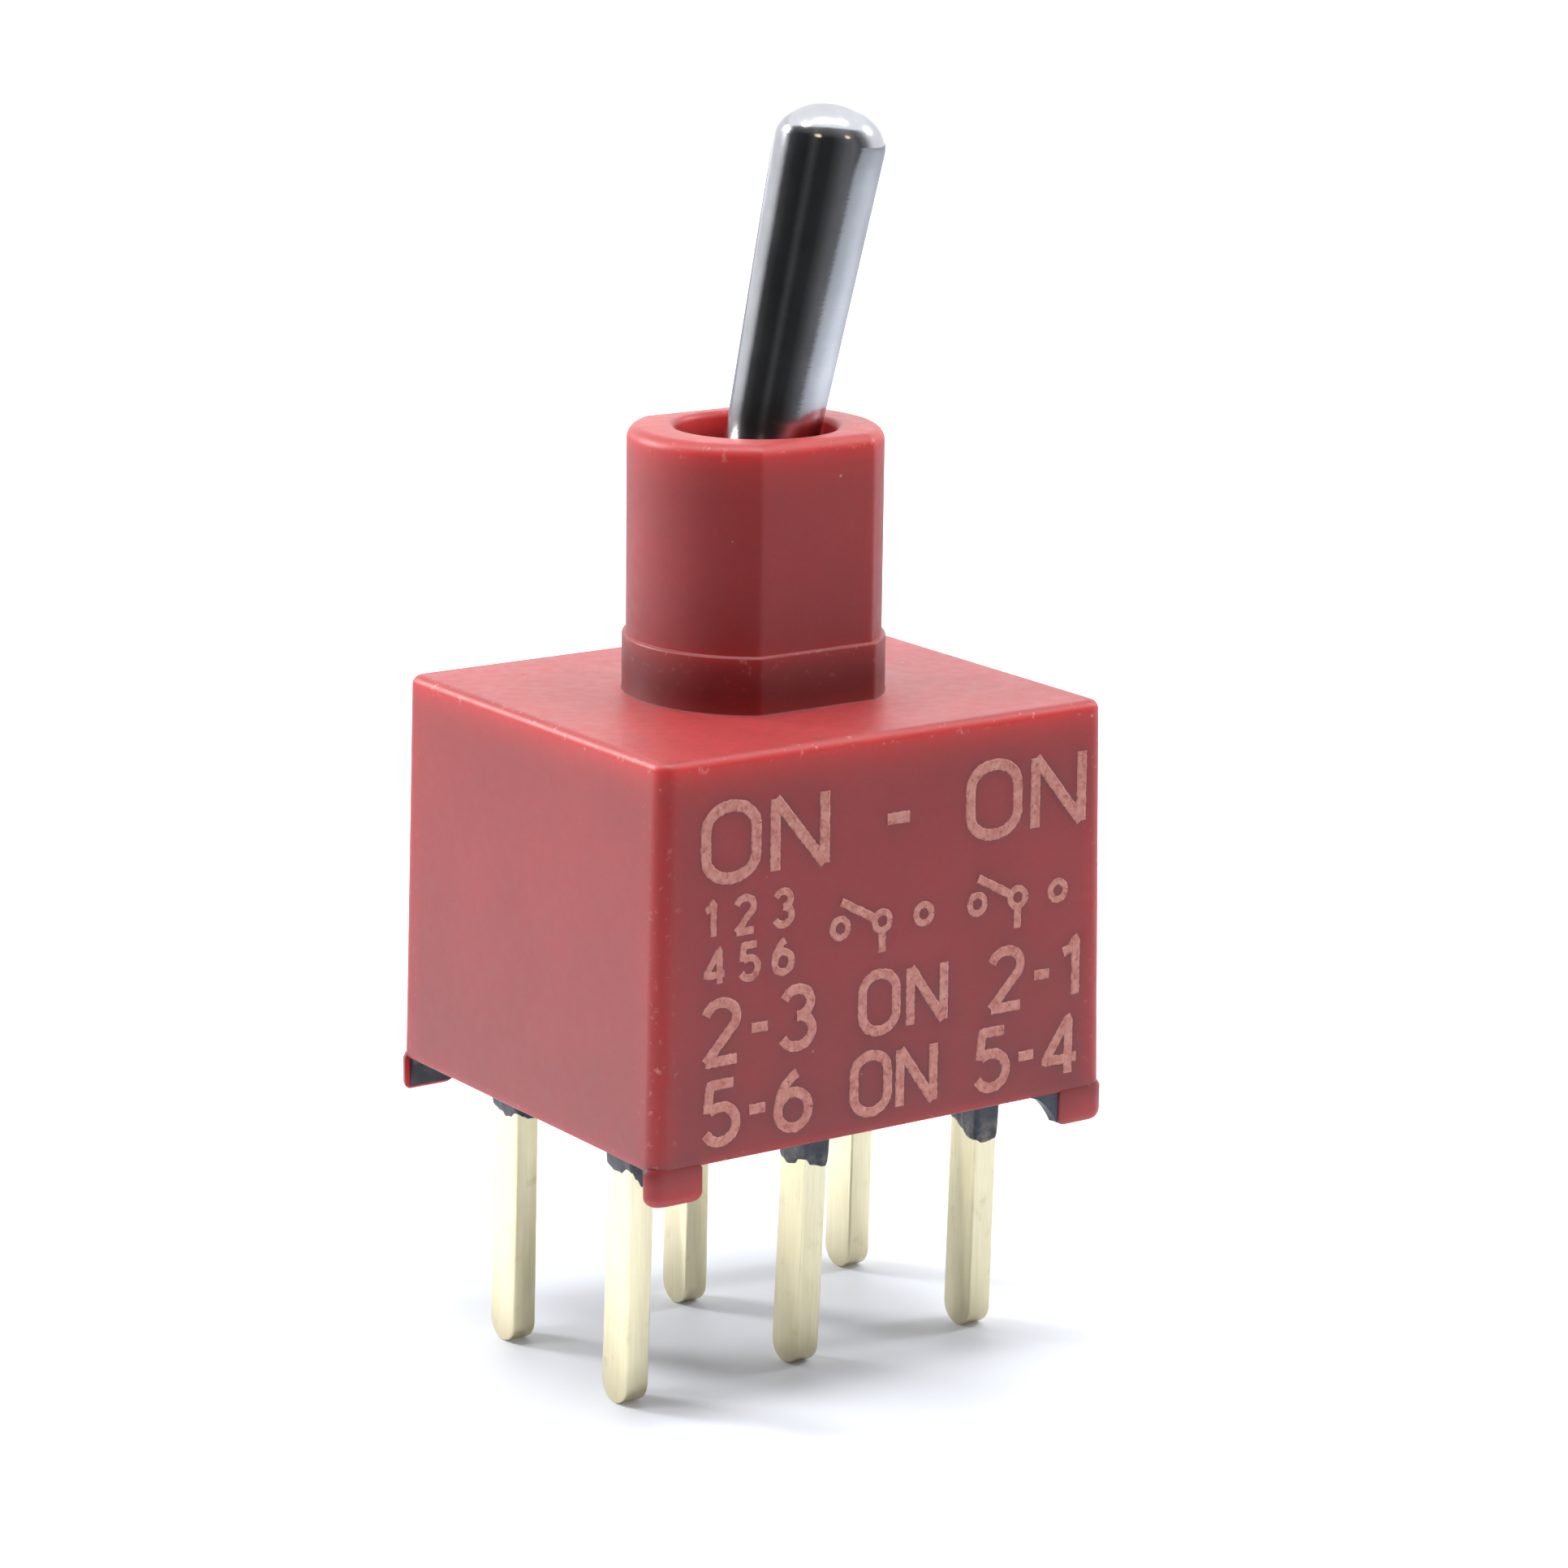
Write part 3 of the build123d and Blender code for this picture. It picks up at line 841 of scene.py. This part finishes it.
def case_material():
    """Satin red moulding with fine grain, pale scuff specks, worn edges, and painted light and
    shade.
    """
    n = Nodes("case_red_moulding")
    cloudy = n.ramp(n.noise(0.35, 3), 0.35, 0.65)
    grain = n.noise(14.0, 3, 0.6)
    base = n.mix(cloudy, rgb(162, 34, 37), rgb(170, 38, 41))
    base = n.mix(n.ramp(grain, 0.35, 0.75, 0.0, 0.35), base, rgb(138, 27, 31))
    cells = n.add("ShaderNodeTexVoronoi")
    n.link(n.mm, cells.inputs["Vector"])
    cells.inputs["Scale"].default_value = 1.6
    split = n.add("ShaderNodeSeparateColor")
    n.link(cells.outputs["Color"], split.inputs["Color"])
    chosen = n.ramp(split.outputs["Red"], 0.80, 0.82)
    near = n.ramp(cells.outputs["Distance"], 0.030, 0.075, 1.0, 0.0)
    specks = n.math("MULTIPLY", chosen, near)
    # Painted light and shade by height: a paler painted glow at the thin upper edges and the
    # bushing's rim, a redder painted glow along the bottom edge, and painted shade at the walls'
    # foot and on the collar.
    level = n.level()
    thin = n.curve(level, (8.6, 0.0), (9.0, 0.12), (9.3, 0.38), (9.62, 0.74), (9.75, 0.0))
    painted_rim_glow = n.curve(level, (14.5, 0.0), (15.15, 0.25), (15.50, 0.70), (15.70, 0.20), (15.80, 0.0))
    base = n.mix(n.math("MAXIMUM", thin, painted_rim_glow), base, rgb(212, 46, 44))
    # Painted glow: the bottom edge and the feet a brighter, redder red.
    low = n.curve(level, (-1.0, 0.80), (-0.2, 0.60), (0.8, 0.0))
    base = n.mix(low, base, rgb(198, 24, 24))
    # Painted shade: the walls darker towards their foot.
    painted_wall_foot_shade = n.curve(level, (0.2, 0.0), (0.9, 0.34), (3.0, 0.20), (6.0, 0.0))
    base = n.mix(painted_wall_foot_shade, base, rgb(110, 22, 24))
    # Painted shade: the collar and the foot of the bushing darker, where they sit in shade.
    painted_collar_shade = n.curve(level, (9.751, 0.0), (9.758, 0.80), (10.25, 0.76), (10.75, 0.48),
                     (11.03, 0.20), (11.5, 0.15), (13.0, 0.0))
    base = n.mix(painted_collar_shade, base, rgb(86, 2, 4))
    wear_and_edge_light = n.add("ShaderNodeAttribute", attribute_name="wear_and_edge_light").outputs["Fac"]
    # Painted light: the upright corners, the bottom round and the feet's edges a brighter, deeper
    # red.
    upright = n.math("MULTIPLY", wear_and_edge_light, n.curve(level, (8.7, 0.50), (9.3, 0.0)))
    base = n.mix(upright, base, rgb(204, 24, 24))
    rub = n.ramp(n.noise(5.0, 4, 0.65), 0.60, 0.70)
    rubbed = n.math("MULTIPLY", n.math("MULTIPLY", rub, wear_and_edge_light), 0.55)
    pale = n.math("MAXIMUM", n.math("MULTIPLY", specks, 0.75), rubbed)
    colour = n.mix(pale, base, rgb(226, 150, 142))
    roughness = n.ramp(n.noise(3.0, 4), 0.3, 0.7, 0.40, 0.48)
    matt_fillet = n.curve(level, (9.75, 0.0), (9.755, 0.9), (9.79, 0.0))
    roughness = n.math("MAXIMUM", roughness, matt_fillet)
    height = n.math("ADD", n.math("MULTIPLY", grain, 0.7), n.noise(38.0, 2))
    n.bump(height, 0.24, 0.010)
    n.shader.subsurface_method = "BURLEY"
    return n.finish(colour, roughness, IOR=1.52, Subsurface_Weight=1.0,
                    Subsurface_Radius=(1.0, 0.10, 0.09), Subsurface_Scale=0.8 * MM,
                    Coat_Weight=0.70, Coat_Roughness=0.74, Coat_IOR=1.5)


def mark_material():
    """Laser-burnt marking: pale salmon broken up by grains of the red below."""
    n = Nodes("laser_mark")
    grains = n.ramp(n.noise(9.0, 4, 0.7), 0.30, 0.50)
    hatch = n.ramp(n.noise(4.0, 3, 0.6), 0.35, 0.70)
    tone = n.mix(hatch, rgb(212, 138, 126), rgb(232, 166, 154))
    colour = n.mix(grains, rgb(182, 94, 86), tone)
    n.bump(n.noise(16.0, 3), 0.35, 0.010)
    return n.finish(colour, n.ramp(grains, 0, 1, 0.60, 0.80), IOR=1.45)


def chrome_material():
    """Bright plating over turned metal: faint rings, smudges, fine dust, and painted shade at its
    foot.
    """
    n = Nodes("lever_bright_plate")
    smudge = n.noise(0.9, 4, 0.6)
    colour = n.mix(n.ramp(smudge, 0.35, 0.7), rgb(216, 218, 224), rgb(232, 233, 238))
    # Painted shade: darker and brownish towards the lever's foot, a painted dim reflection of the
    # bushing.
    painted_lever_foot_shade = n.curve(n.level(), (15.2, 0.88), (15.8, 0.58), (16.3, 0.14), (16.8, 0.0))
    colour = n.mix(painted_lever_foot_shade, colour, rgb(104, 84, 82))
    turned = n.noise(1.0, 2, 0.5, n.stretch(0.6, 0.6, 26.0))
    fine = n.noise(30.0, 2)
    roughness = n.ramp(n.math("ADD", smudge, n.math("MULTIPLY", fine, 0.4)), 0.4, 1.1, 0.07, 0.17)
    roughness = n.math("ADD", roughness, n.math("MULTIPLY", painted_lever_foot_shade, 0.12))
    height = n.math("ADD", n.math("MULTIPLY", turned, 0.6), n.math("MULTIPLY", fine, 0.6))
    height = n.math("ADD", height, n.math("MULTIPLY", n.noise(9.0, 3, 0.6), 1.4))
    n.bump(height, 0.16, 0.005)
    return n.finish(colour, roughness, Metallic=1.0)


def gold_material():
    """Pale gold flash over stamped brass: long drawing marks, dim patches, stains and painted shade
    at the tips.
    """
    n = Nodes("terminal_pale_gold")
    streaks = n.noise(1.0, 4, 0.6, n.stretch(14.0, 14.0, 0.8))
    patches = n.noise(1.6, 4, 0.6)
    gold = n.mix(n.ramp(streaks, 0.35, 0.7), rgb(236, 226, 188), rgb(246, 239, 208))
    stain = n.math("MULTIPLY", n.ramp(patches, 0.62, 0.80), 0.40)
    colour = n.mix(stain, gold, rgb(186, 168, 128))
    # Painted shade: the legs darker and browner towards their tips, a painted reflection of the
    # shadowed floor.
    painted_tip_shade = n.curve(n.level(), (-5.4, 0.28), (-4.4, 0.12), (-2.6, 0.03), (-0.8, 0.0))
    colour = n.mix(painted_tip_shade, colour, rgb(176, 160, 126))
    roughness = n.ramp(n.math("ADD", streaks, patches), 0.7, 1.3, 0.32, 0.46)
    height = n.math("ADD", streaks, n.math("MULTIPLY", n.noise(12.0, 3), 0.5))
    n.bump(height, 0.25, 0.012)
    return n.finish(colour, roughness, Metallic=1.0)


def epoxy_material():
    """Dark cast potting, uneven and slightly glossy."""
    n = Nodes("potting_dark")
    blotch = n.noise(3.0, 4, 0.6)
    colour = n.mix(n.ramp(blotch, 0.35, 0.7), rgb(38, 42, 52), rgb(72, 78, 92))
    thin = n.math("MULTIPLY", n.ramp(n.level(), -0.30, -0.75), n.ramp(blotch, 0.45, 0.62))
    colour = n.mix(n.math("MULTIPLY", thin, 0.8), colour, rgb(140, 130, 114))
    n.bump(n.noise(7.0, 4, 0.6), 0.5, 0.03)
    return n.finish(colour, n.ramp(blotch, 0.3, 0.7, 0.28, 0.50), IOR=1.55)


def plain_material(name, dark, light, rough, metallic=0.0, scale=6.0):
    """A hidden piece's finish: two tones, an uneven gloss and a little grain."""
    n = Nodes(name)
    grain = n.noise(scale, 4, 0.6)
    colour = n.mix(n.ramp(grain, 0.35, 0.7), rgb(*dark), rgb(*light))
    n.bump(n.noise(scale * 4, 2), 0.2, 0.01)
    return n.finish(colour, n.ramp(grain, 0.3, 0.7, rough - 0.06, rough + 0.06), Metallic=metallic)


# ======================= dressing the CAD nodes =======================

def dress(node, material):
    """Give a CAD node its material."""
    mesh = frame["nodes"][node].data
    mesh.materials.clear()
    mesh.materials.append(material)


# ======================= stage =======================

def direction(azimuth, elevation):
    """The unit vector towards an azimuth and an elevation, in radians."""
    level = math.cos(elevation)
    return Vector((math.sin(azimuth) * level, -math.cos(azimuth) * level, math.sin(elevation)))


CAMERA_PLACE = Vector((-62.742, -91.191, 34.799))
CAMERA_AZIMUTH = math.radians(-34.901)
CAMERA_ELEVATION = math.radians(13.85)
CAMERA_ROLL = math.radians(0.678)
CAMERA_LENS = 116.26


def make_camera():
    """The camera at the photograph's angle and distance."""
    data = bpy.data.cameras.new("camera")
    data.sensor_width = 36
    data.lens = CAMERA_LENS
    data.clip_start = 0.005
    data.clip_end = 10
    camera = new_object("camera", data)
    back = direction(CAMERA_AZIMUTH, CAMERA_ELEVATION)
    level = Vector((math.cos(CAMERA_AZIMUTH), math.sin(CAMERA_AZIMUTH), 0))
    upright = back.cross(level)
    sin_r, cos_r = math.sin(CAMERA_ROLL), math.cos(CAMERA_ROLL)
    right = cos_r * level + sin_r * upright
    up = -sin_r * level + cos_r * upright
    turn = Matrix((right, up, back)).transposed().to_4x4()
    camera.matrix_world = Matrix.Translation(CAMERA_PLACE * MM) @ turn
    bpy.context.scene.camera = camera


# The tent's open front faces the camera, and the white floor ends there.
OPEN_AZIMUTH = math.radians(-35)
RIGHT_FRONT = math.radians(36)
FLOOR_FRONT = 85
FLOOR_RADIUS = 400


def way_along(n, azimuth):
    """How far a place lies towards an azimuth, in millimetres."""
    node = n.add("ShaderNodeVectorMath", operation="DOT_PRODUCT")
    n.link(n.mm, node.inputs[0])
    node.inputs[1].default_value = direction(azimuth, 0)
    return node.outputs["Value"]


def make_floor():
    """A white floor that keeps the soft shadow and fades towards the tent's open front."""
    n = Nodes("floor_white")
    distance = n.add("ShaderNodeVectorMath", operation="LENGTH")
    n.link(n.mm, distance.inputs[0])
    away = distance.outputs["Value"]
    fade = n.math("MAXIMUM", n.curve(way_along(n, OPEN_AZIMUTH), (12, 0.0), (FLOOR_FRONT, 0.65)),
                  n.curve(away, (35, 0.0), (100, 0.40)))
    n.finish(n.mix(fade, (0.73, 0.765, 0.825, 1), (0, 0, 0, 1)), 0.6)
    # The camera sees the floor turn white away from the object, and gloss mirrors a pale ring.
    path = n.add("ShaderNodeLightPath")
    bright = n.curve(away, (6.5, 0.05), (10.5, 0.20), (26, 0.6), (55, 1.0))
    seen = n.math("MULTIPLY", path.outputs["Is Camera Ray"], bright)
    glow = n.curve(away, (7, 0.0), (11, 0.50), (18, 0.45), (30, 0.12), (60, 0.10), (110, 0.0))
    glow = n.math("MULTIPLY", glow, n.ramp(way_along(n, RIGHT_FRONT), -5, 10, 1.0, 0.25))
    mirrored = n.math("MULTIPLY", path.outputs["Is Glossy Ray"], glow)
    n.put(n.shader.inputs["Emission Color"], (1, 1, 1, 1))
    n.put(n.shader.inputs["Emission Strength"], n.math("ADD", seen, mirrored))
    sides = 180
    points = []
    for i in range(sides):
        turn = 2 * math.pi * i / sides
        x, y = math.cos(turn), math.sin(turn)
        toward = x * math.sin(OPEN_AZIMUTH) - y * math.cos(OPEN_AZIMUTH)
        reach = min(FLOOR_RADIUS, FLOOR_FRONT / max(toward, 0.001))
        points.append((reach * x, reach * y, FLOOR_Z))
    mesh = bpy.data.meshes.new("floor")
    mesh.from_pydata([Vector(p) * MM for p in points], [], [tuple(range(sides))])
    mesh.materials.append(n.material)
    new_object("floor", mesh)


# The tent's brightness round the horizon, by azimuth in degrees: its open front is dark.
TENT = ((-180, 0.80), (-152, 0.70), (-141, 0.55), (-126, 0.055), (-103, 0.024), (-80, 0.018),
        (-65, 0.055), (-52, 0.022), (-28, 0.024), (-12, 0.060), (2, 0.11), (18, 0.14), (32, 0.08),
        (48, 0.20), (58, 0.50), (70, 0.88), (90, 0.92), (115, 0.92), (145, 1.85), (165, 1.3))
TENT_TOP = 1.0
TENT_COLOUR = (0.97, 0.985, 1.0, 1)
# The opening's upper edge in degrees: how high at its middle, how high at OPEN_HALF to each side,
# the least height further round, and half the height over which it softens.
OPEN_TOP = (60, 40)
OPEN_HALF = 87
OPEN_LEAST = 30
OPEN_SOFT = 4
# The opening's own faint light: the heights in degrees between which it comes in, and how much.
HAZE = (24, 55, 0.12)


def make_world():
    """A white tent with a dark open front, and plain white behind the object."""
    world = bpy.data.worlds.new("tent")
    world.use_nodes = True
    bpy.context.scene.world = world
    tree = world.node_tree
    nodes, links = tree.nodes, tree.links
    nodes.clear()

    def math_node(operation, *values):
        node = nodes.new("ShaderNodeMath")
        node.operation = operation
        for socket, value in zip(node.inputs, values):
            if isinstance(value, bpy.types.NodeSocket):
                links.new(value, socket)
            else:
                socket.default_value = value
        return node.outputs[0]

    def rise(value, low, high, most, kind):
        """From 0 to most between two angles in degrees."""
        node = nodes.new("ShaderNodeMapRange")
        node.interpolation_type = kind
        links.new(value, node.inputs["Value"])
        node.inputs["From Min"].default_value = math.radians(low)
        node.inputs["From Max"].default_value = math.radians(high)
        node.inputs["To Max"].default_value = most
        return node.outputs["Result"]

    def background(colour):
        node = nodes.new("ShaderNodeBackground")
        node.inputs["Color"].default_value = colour
        node.inputs["Strength"].default_value = 1.0
        return node

    place = nodes.new("ShaderNodeTexCoord").outputs["Generated"]
    split = nodes.new("ShaderNodeSeparateXYZ")
    links.new(place, split.inputs[0])
    x, y, z = split.outputs
    azimuth = math_node("ARCTAN2", x, math_node("MULTIPLY", y, -1.0))
    turn = math_node("MULTIPLY_ADD", azimuth, 0.5 / math.pi, 0.5)
    ring = nodes.new("ShaderNodeValToRGB")
    links.new(turn, ring.inputs["Fac"])
    stops = ring.color_ramp.elements
    for degrees, level in TENT + ((180, TENT[0][1]),):
        stop = stops.new(min(0.9999, (degrees + 180) / 360)) if degrees > -180 else stops[0]
        stop.position = (degrees + 180) / 360
        stop.color = (level / 2, level / 2, level / 2, 1)
    stops.remove(stops[-1])
    side = math_node("MULTIPLY", ring.outputs["Color"], 2.0)
    offset = math_node("SUBTRACT", azimuth, OPEN_AZIMUTH)
    squared = math_node("MULTIPLY", offset, offset)
    spread = math_node("MULTIPLY", squared, 1 / math.radians(OPEN_HALF) ** 2)
    height = math_node("ARCSINE", z)
    edge = math_node("SUBTRACT", math.radians(OPEN_TOP[0]),
                     math_node("MULTIPLY", spread, math.radians(OPEN_TOP[0] - OPEN_TOP[1])))
    edge = math_node("MAXIMUM", edge, math.radians(OPEN_LEAST))
    above = rise(math_node("SUBTRACT", height, edge), -OPEN_SOFT, OPEN_SOFT, 1.0, "SMOOTHSTEP")
    side = math_node("ADD", side, rise(height, *HAZE, "LINEAR"))
    below = math_node("SUBTRACT", 1.0, above)
    light = math_node("ADD", math_node("MULTIPLY", side, below),
                      math_node("MULTIPLY", above, TENT_TOP))
    tent = background(TENT_COLOUR)
    links.new(light, tent.inputs["Strength"])
    plain = background((1, 1, 1, 1))
    mixer = nodes.new("ShaderNodeMixShader")
    seen = nodes.new("ShaderNodeLightPath").outputs["Is Camera Ray"]
    links.new(seen, mixer.inputs["Fac"])
    links.new(tent.outputs[0], mixer.inputs[1])
    links.new(plain.outputs[0], mixer.inputs[2])
    output = nodes.new("ShaderNodeOutputWorld")
    links.new(mixer.outputs[0], output.inputs["Surface"])


# The lamps stand this far from a place inside the object, and shine on it.
LAMP_AWAY = 130
LIT_PLACE = Vector((0, 0, 10))
WHITE = (1.0, 1.0, 1.0)
AMBER = (1.0, 0.72, 0.48)
# Each lamp: azimuth and elevation in degrees, power in watts, two widths in millimetres, colour.
LAMPS = {
    "lamp_left_low": (-145, 24, 0.104, (34, 34), WHITE),
    "lamp_left_high": (-110, 58, 0.038, (28, 28), WHITE),
    "lamp_right_high": (45, 68, 0.034, (28, 28), WHITE),
    "lamp_right_low": (78, 33, 0.050, (28, 28), WHITE),
    "lamp_strip": (-35, 83, 0.070, (90, 26), WHITE),
    "glint_left": (-58, 32, 0.0022, (26, 26), AMBER),
    "glint_right": (10, 33, 0.0015, (23, 23), AMBER),
}


def make_lamp(name, azimuth, elevation, power, size, colour):
    """A soft oval lamp shining on the object from one direction."""
    data = bpy.data.lights.new(name, "AREA")
    data.shape = "ELLIPSE"
    data.size, data.size_y = size[0] * MM, size[1] * MM
    data.energy = power
    data.color = colour
    lamp = new_object(name, data)
    toward = direction(math.radians(azimuth), math.radians(elevation))
    lamp.location = (LIT_PLACE + toward * LAMP_AWAY) * MM
    lamp.rotation_mode = "QUATERNION"
    lamp.rotation_quaternion = (-toward).to_track_quat("-Z", "Y")


# ======================= the scene =======================

RED = case_material()
CHROME = chrome_material()
GOLD = gold_material()
EPOXY = epoxy_material()
MARK = mark_material()
BLACK = plain_material("base_dark", (28, 29, 32), (44, 45, 49), 0.5)
NYLON = plain_material("nylon_cream", (214, 208, 190), (230, 226, 212), 0.45)
RUBBER = plain_material("seal_rubber", (22, 22, 23), (36, 36, 37), 0.7)
STEEL = plain_material("spring_steel", (150, 152, 156), (186, 188, 192), 0.3, metallic=1.0)
COPPER = plain_material("rocker_copper", (196, 138, 96), (222, 168, 124), 0.32, metallic=1.0)
SILVER = plain_material("contact_silver", (196, 196, 190), (222, 222, 218), 0.25, metallic=1.0)

make_case(RED)
make_feet(RED)
make_lever(CHROME)
make_potting(EPOXY)
make_marking(MARK)
for number, (name, sx, sy) in enumerate(CORNERS):
    end_spread = 0.0 if name == "front_left" else 0.85
    make_foot_fillet(name, sx, sy, end_spread, 11.0 + 2.3 * number, EPOXY)
for row in ROWS:
    for number, column in enumerate(COLUMNS):
        make_terminal(row, column, GOLD)
        make_creep(row, column, CREEPS[row][column], 3.7 * number + 0.9 * ROWS[row], EPOXY)
    dress("plunger_" + row, NYLON)
    make_spring(row, STEEL)
    dress("rocker_" + row, COPPER)
    for side in ("left", "right"):
        dress("contact_" + side + "_" + row, SILVER)
dress("actuator", NYLON)
dress("base", BLACK)
dress("lever_o_ring", RUBBER)

make_camera()
make_floor()
make_world()
for name, lamp in LAMPS.items():
    make_lamp(name, *lamp)

view = bpy.context.scene.view_settings
view.view_transform = "Standard"
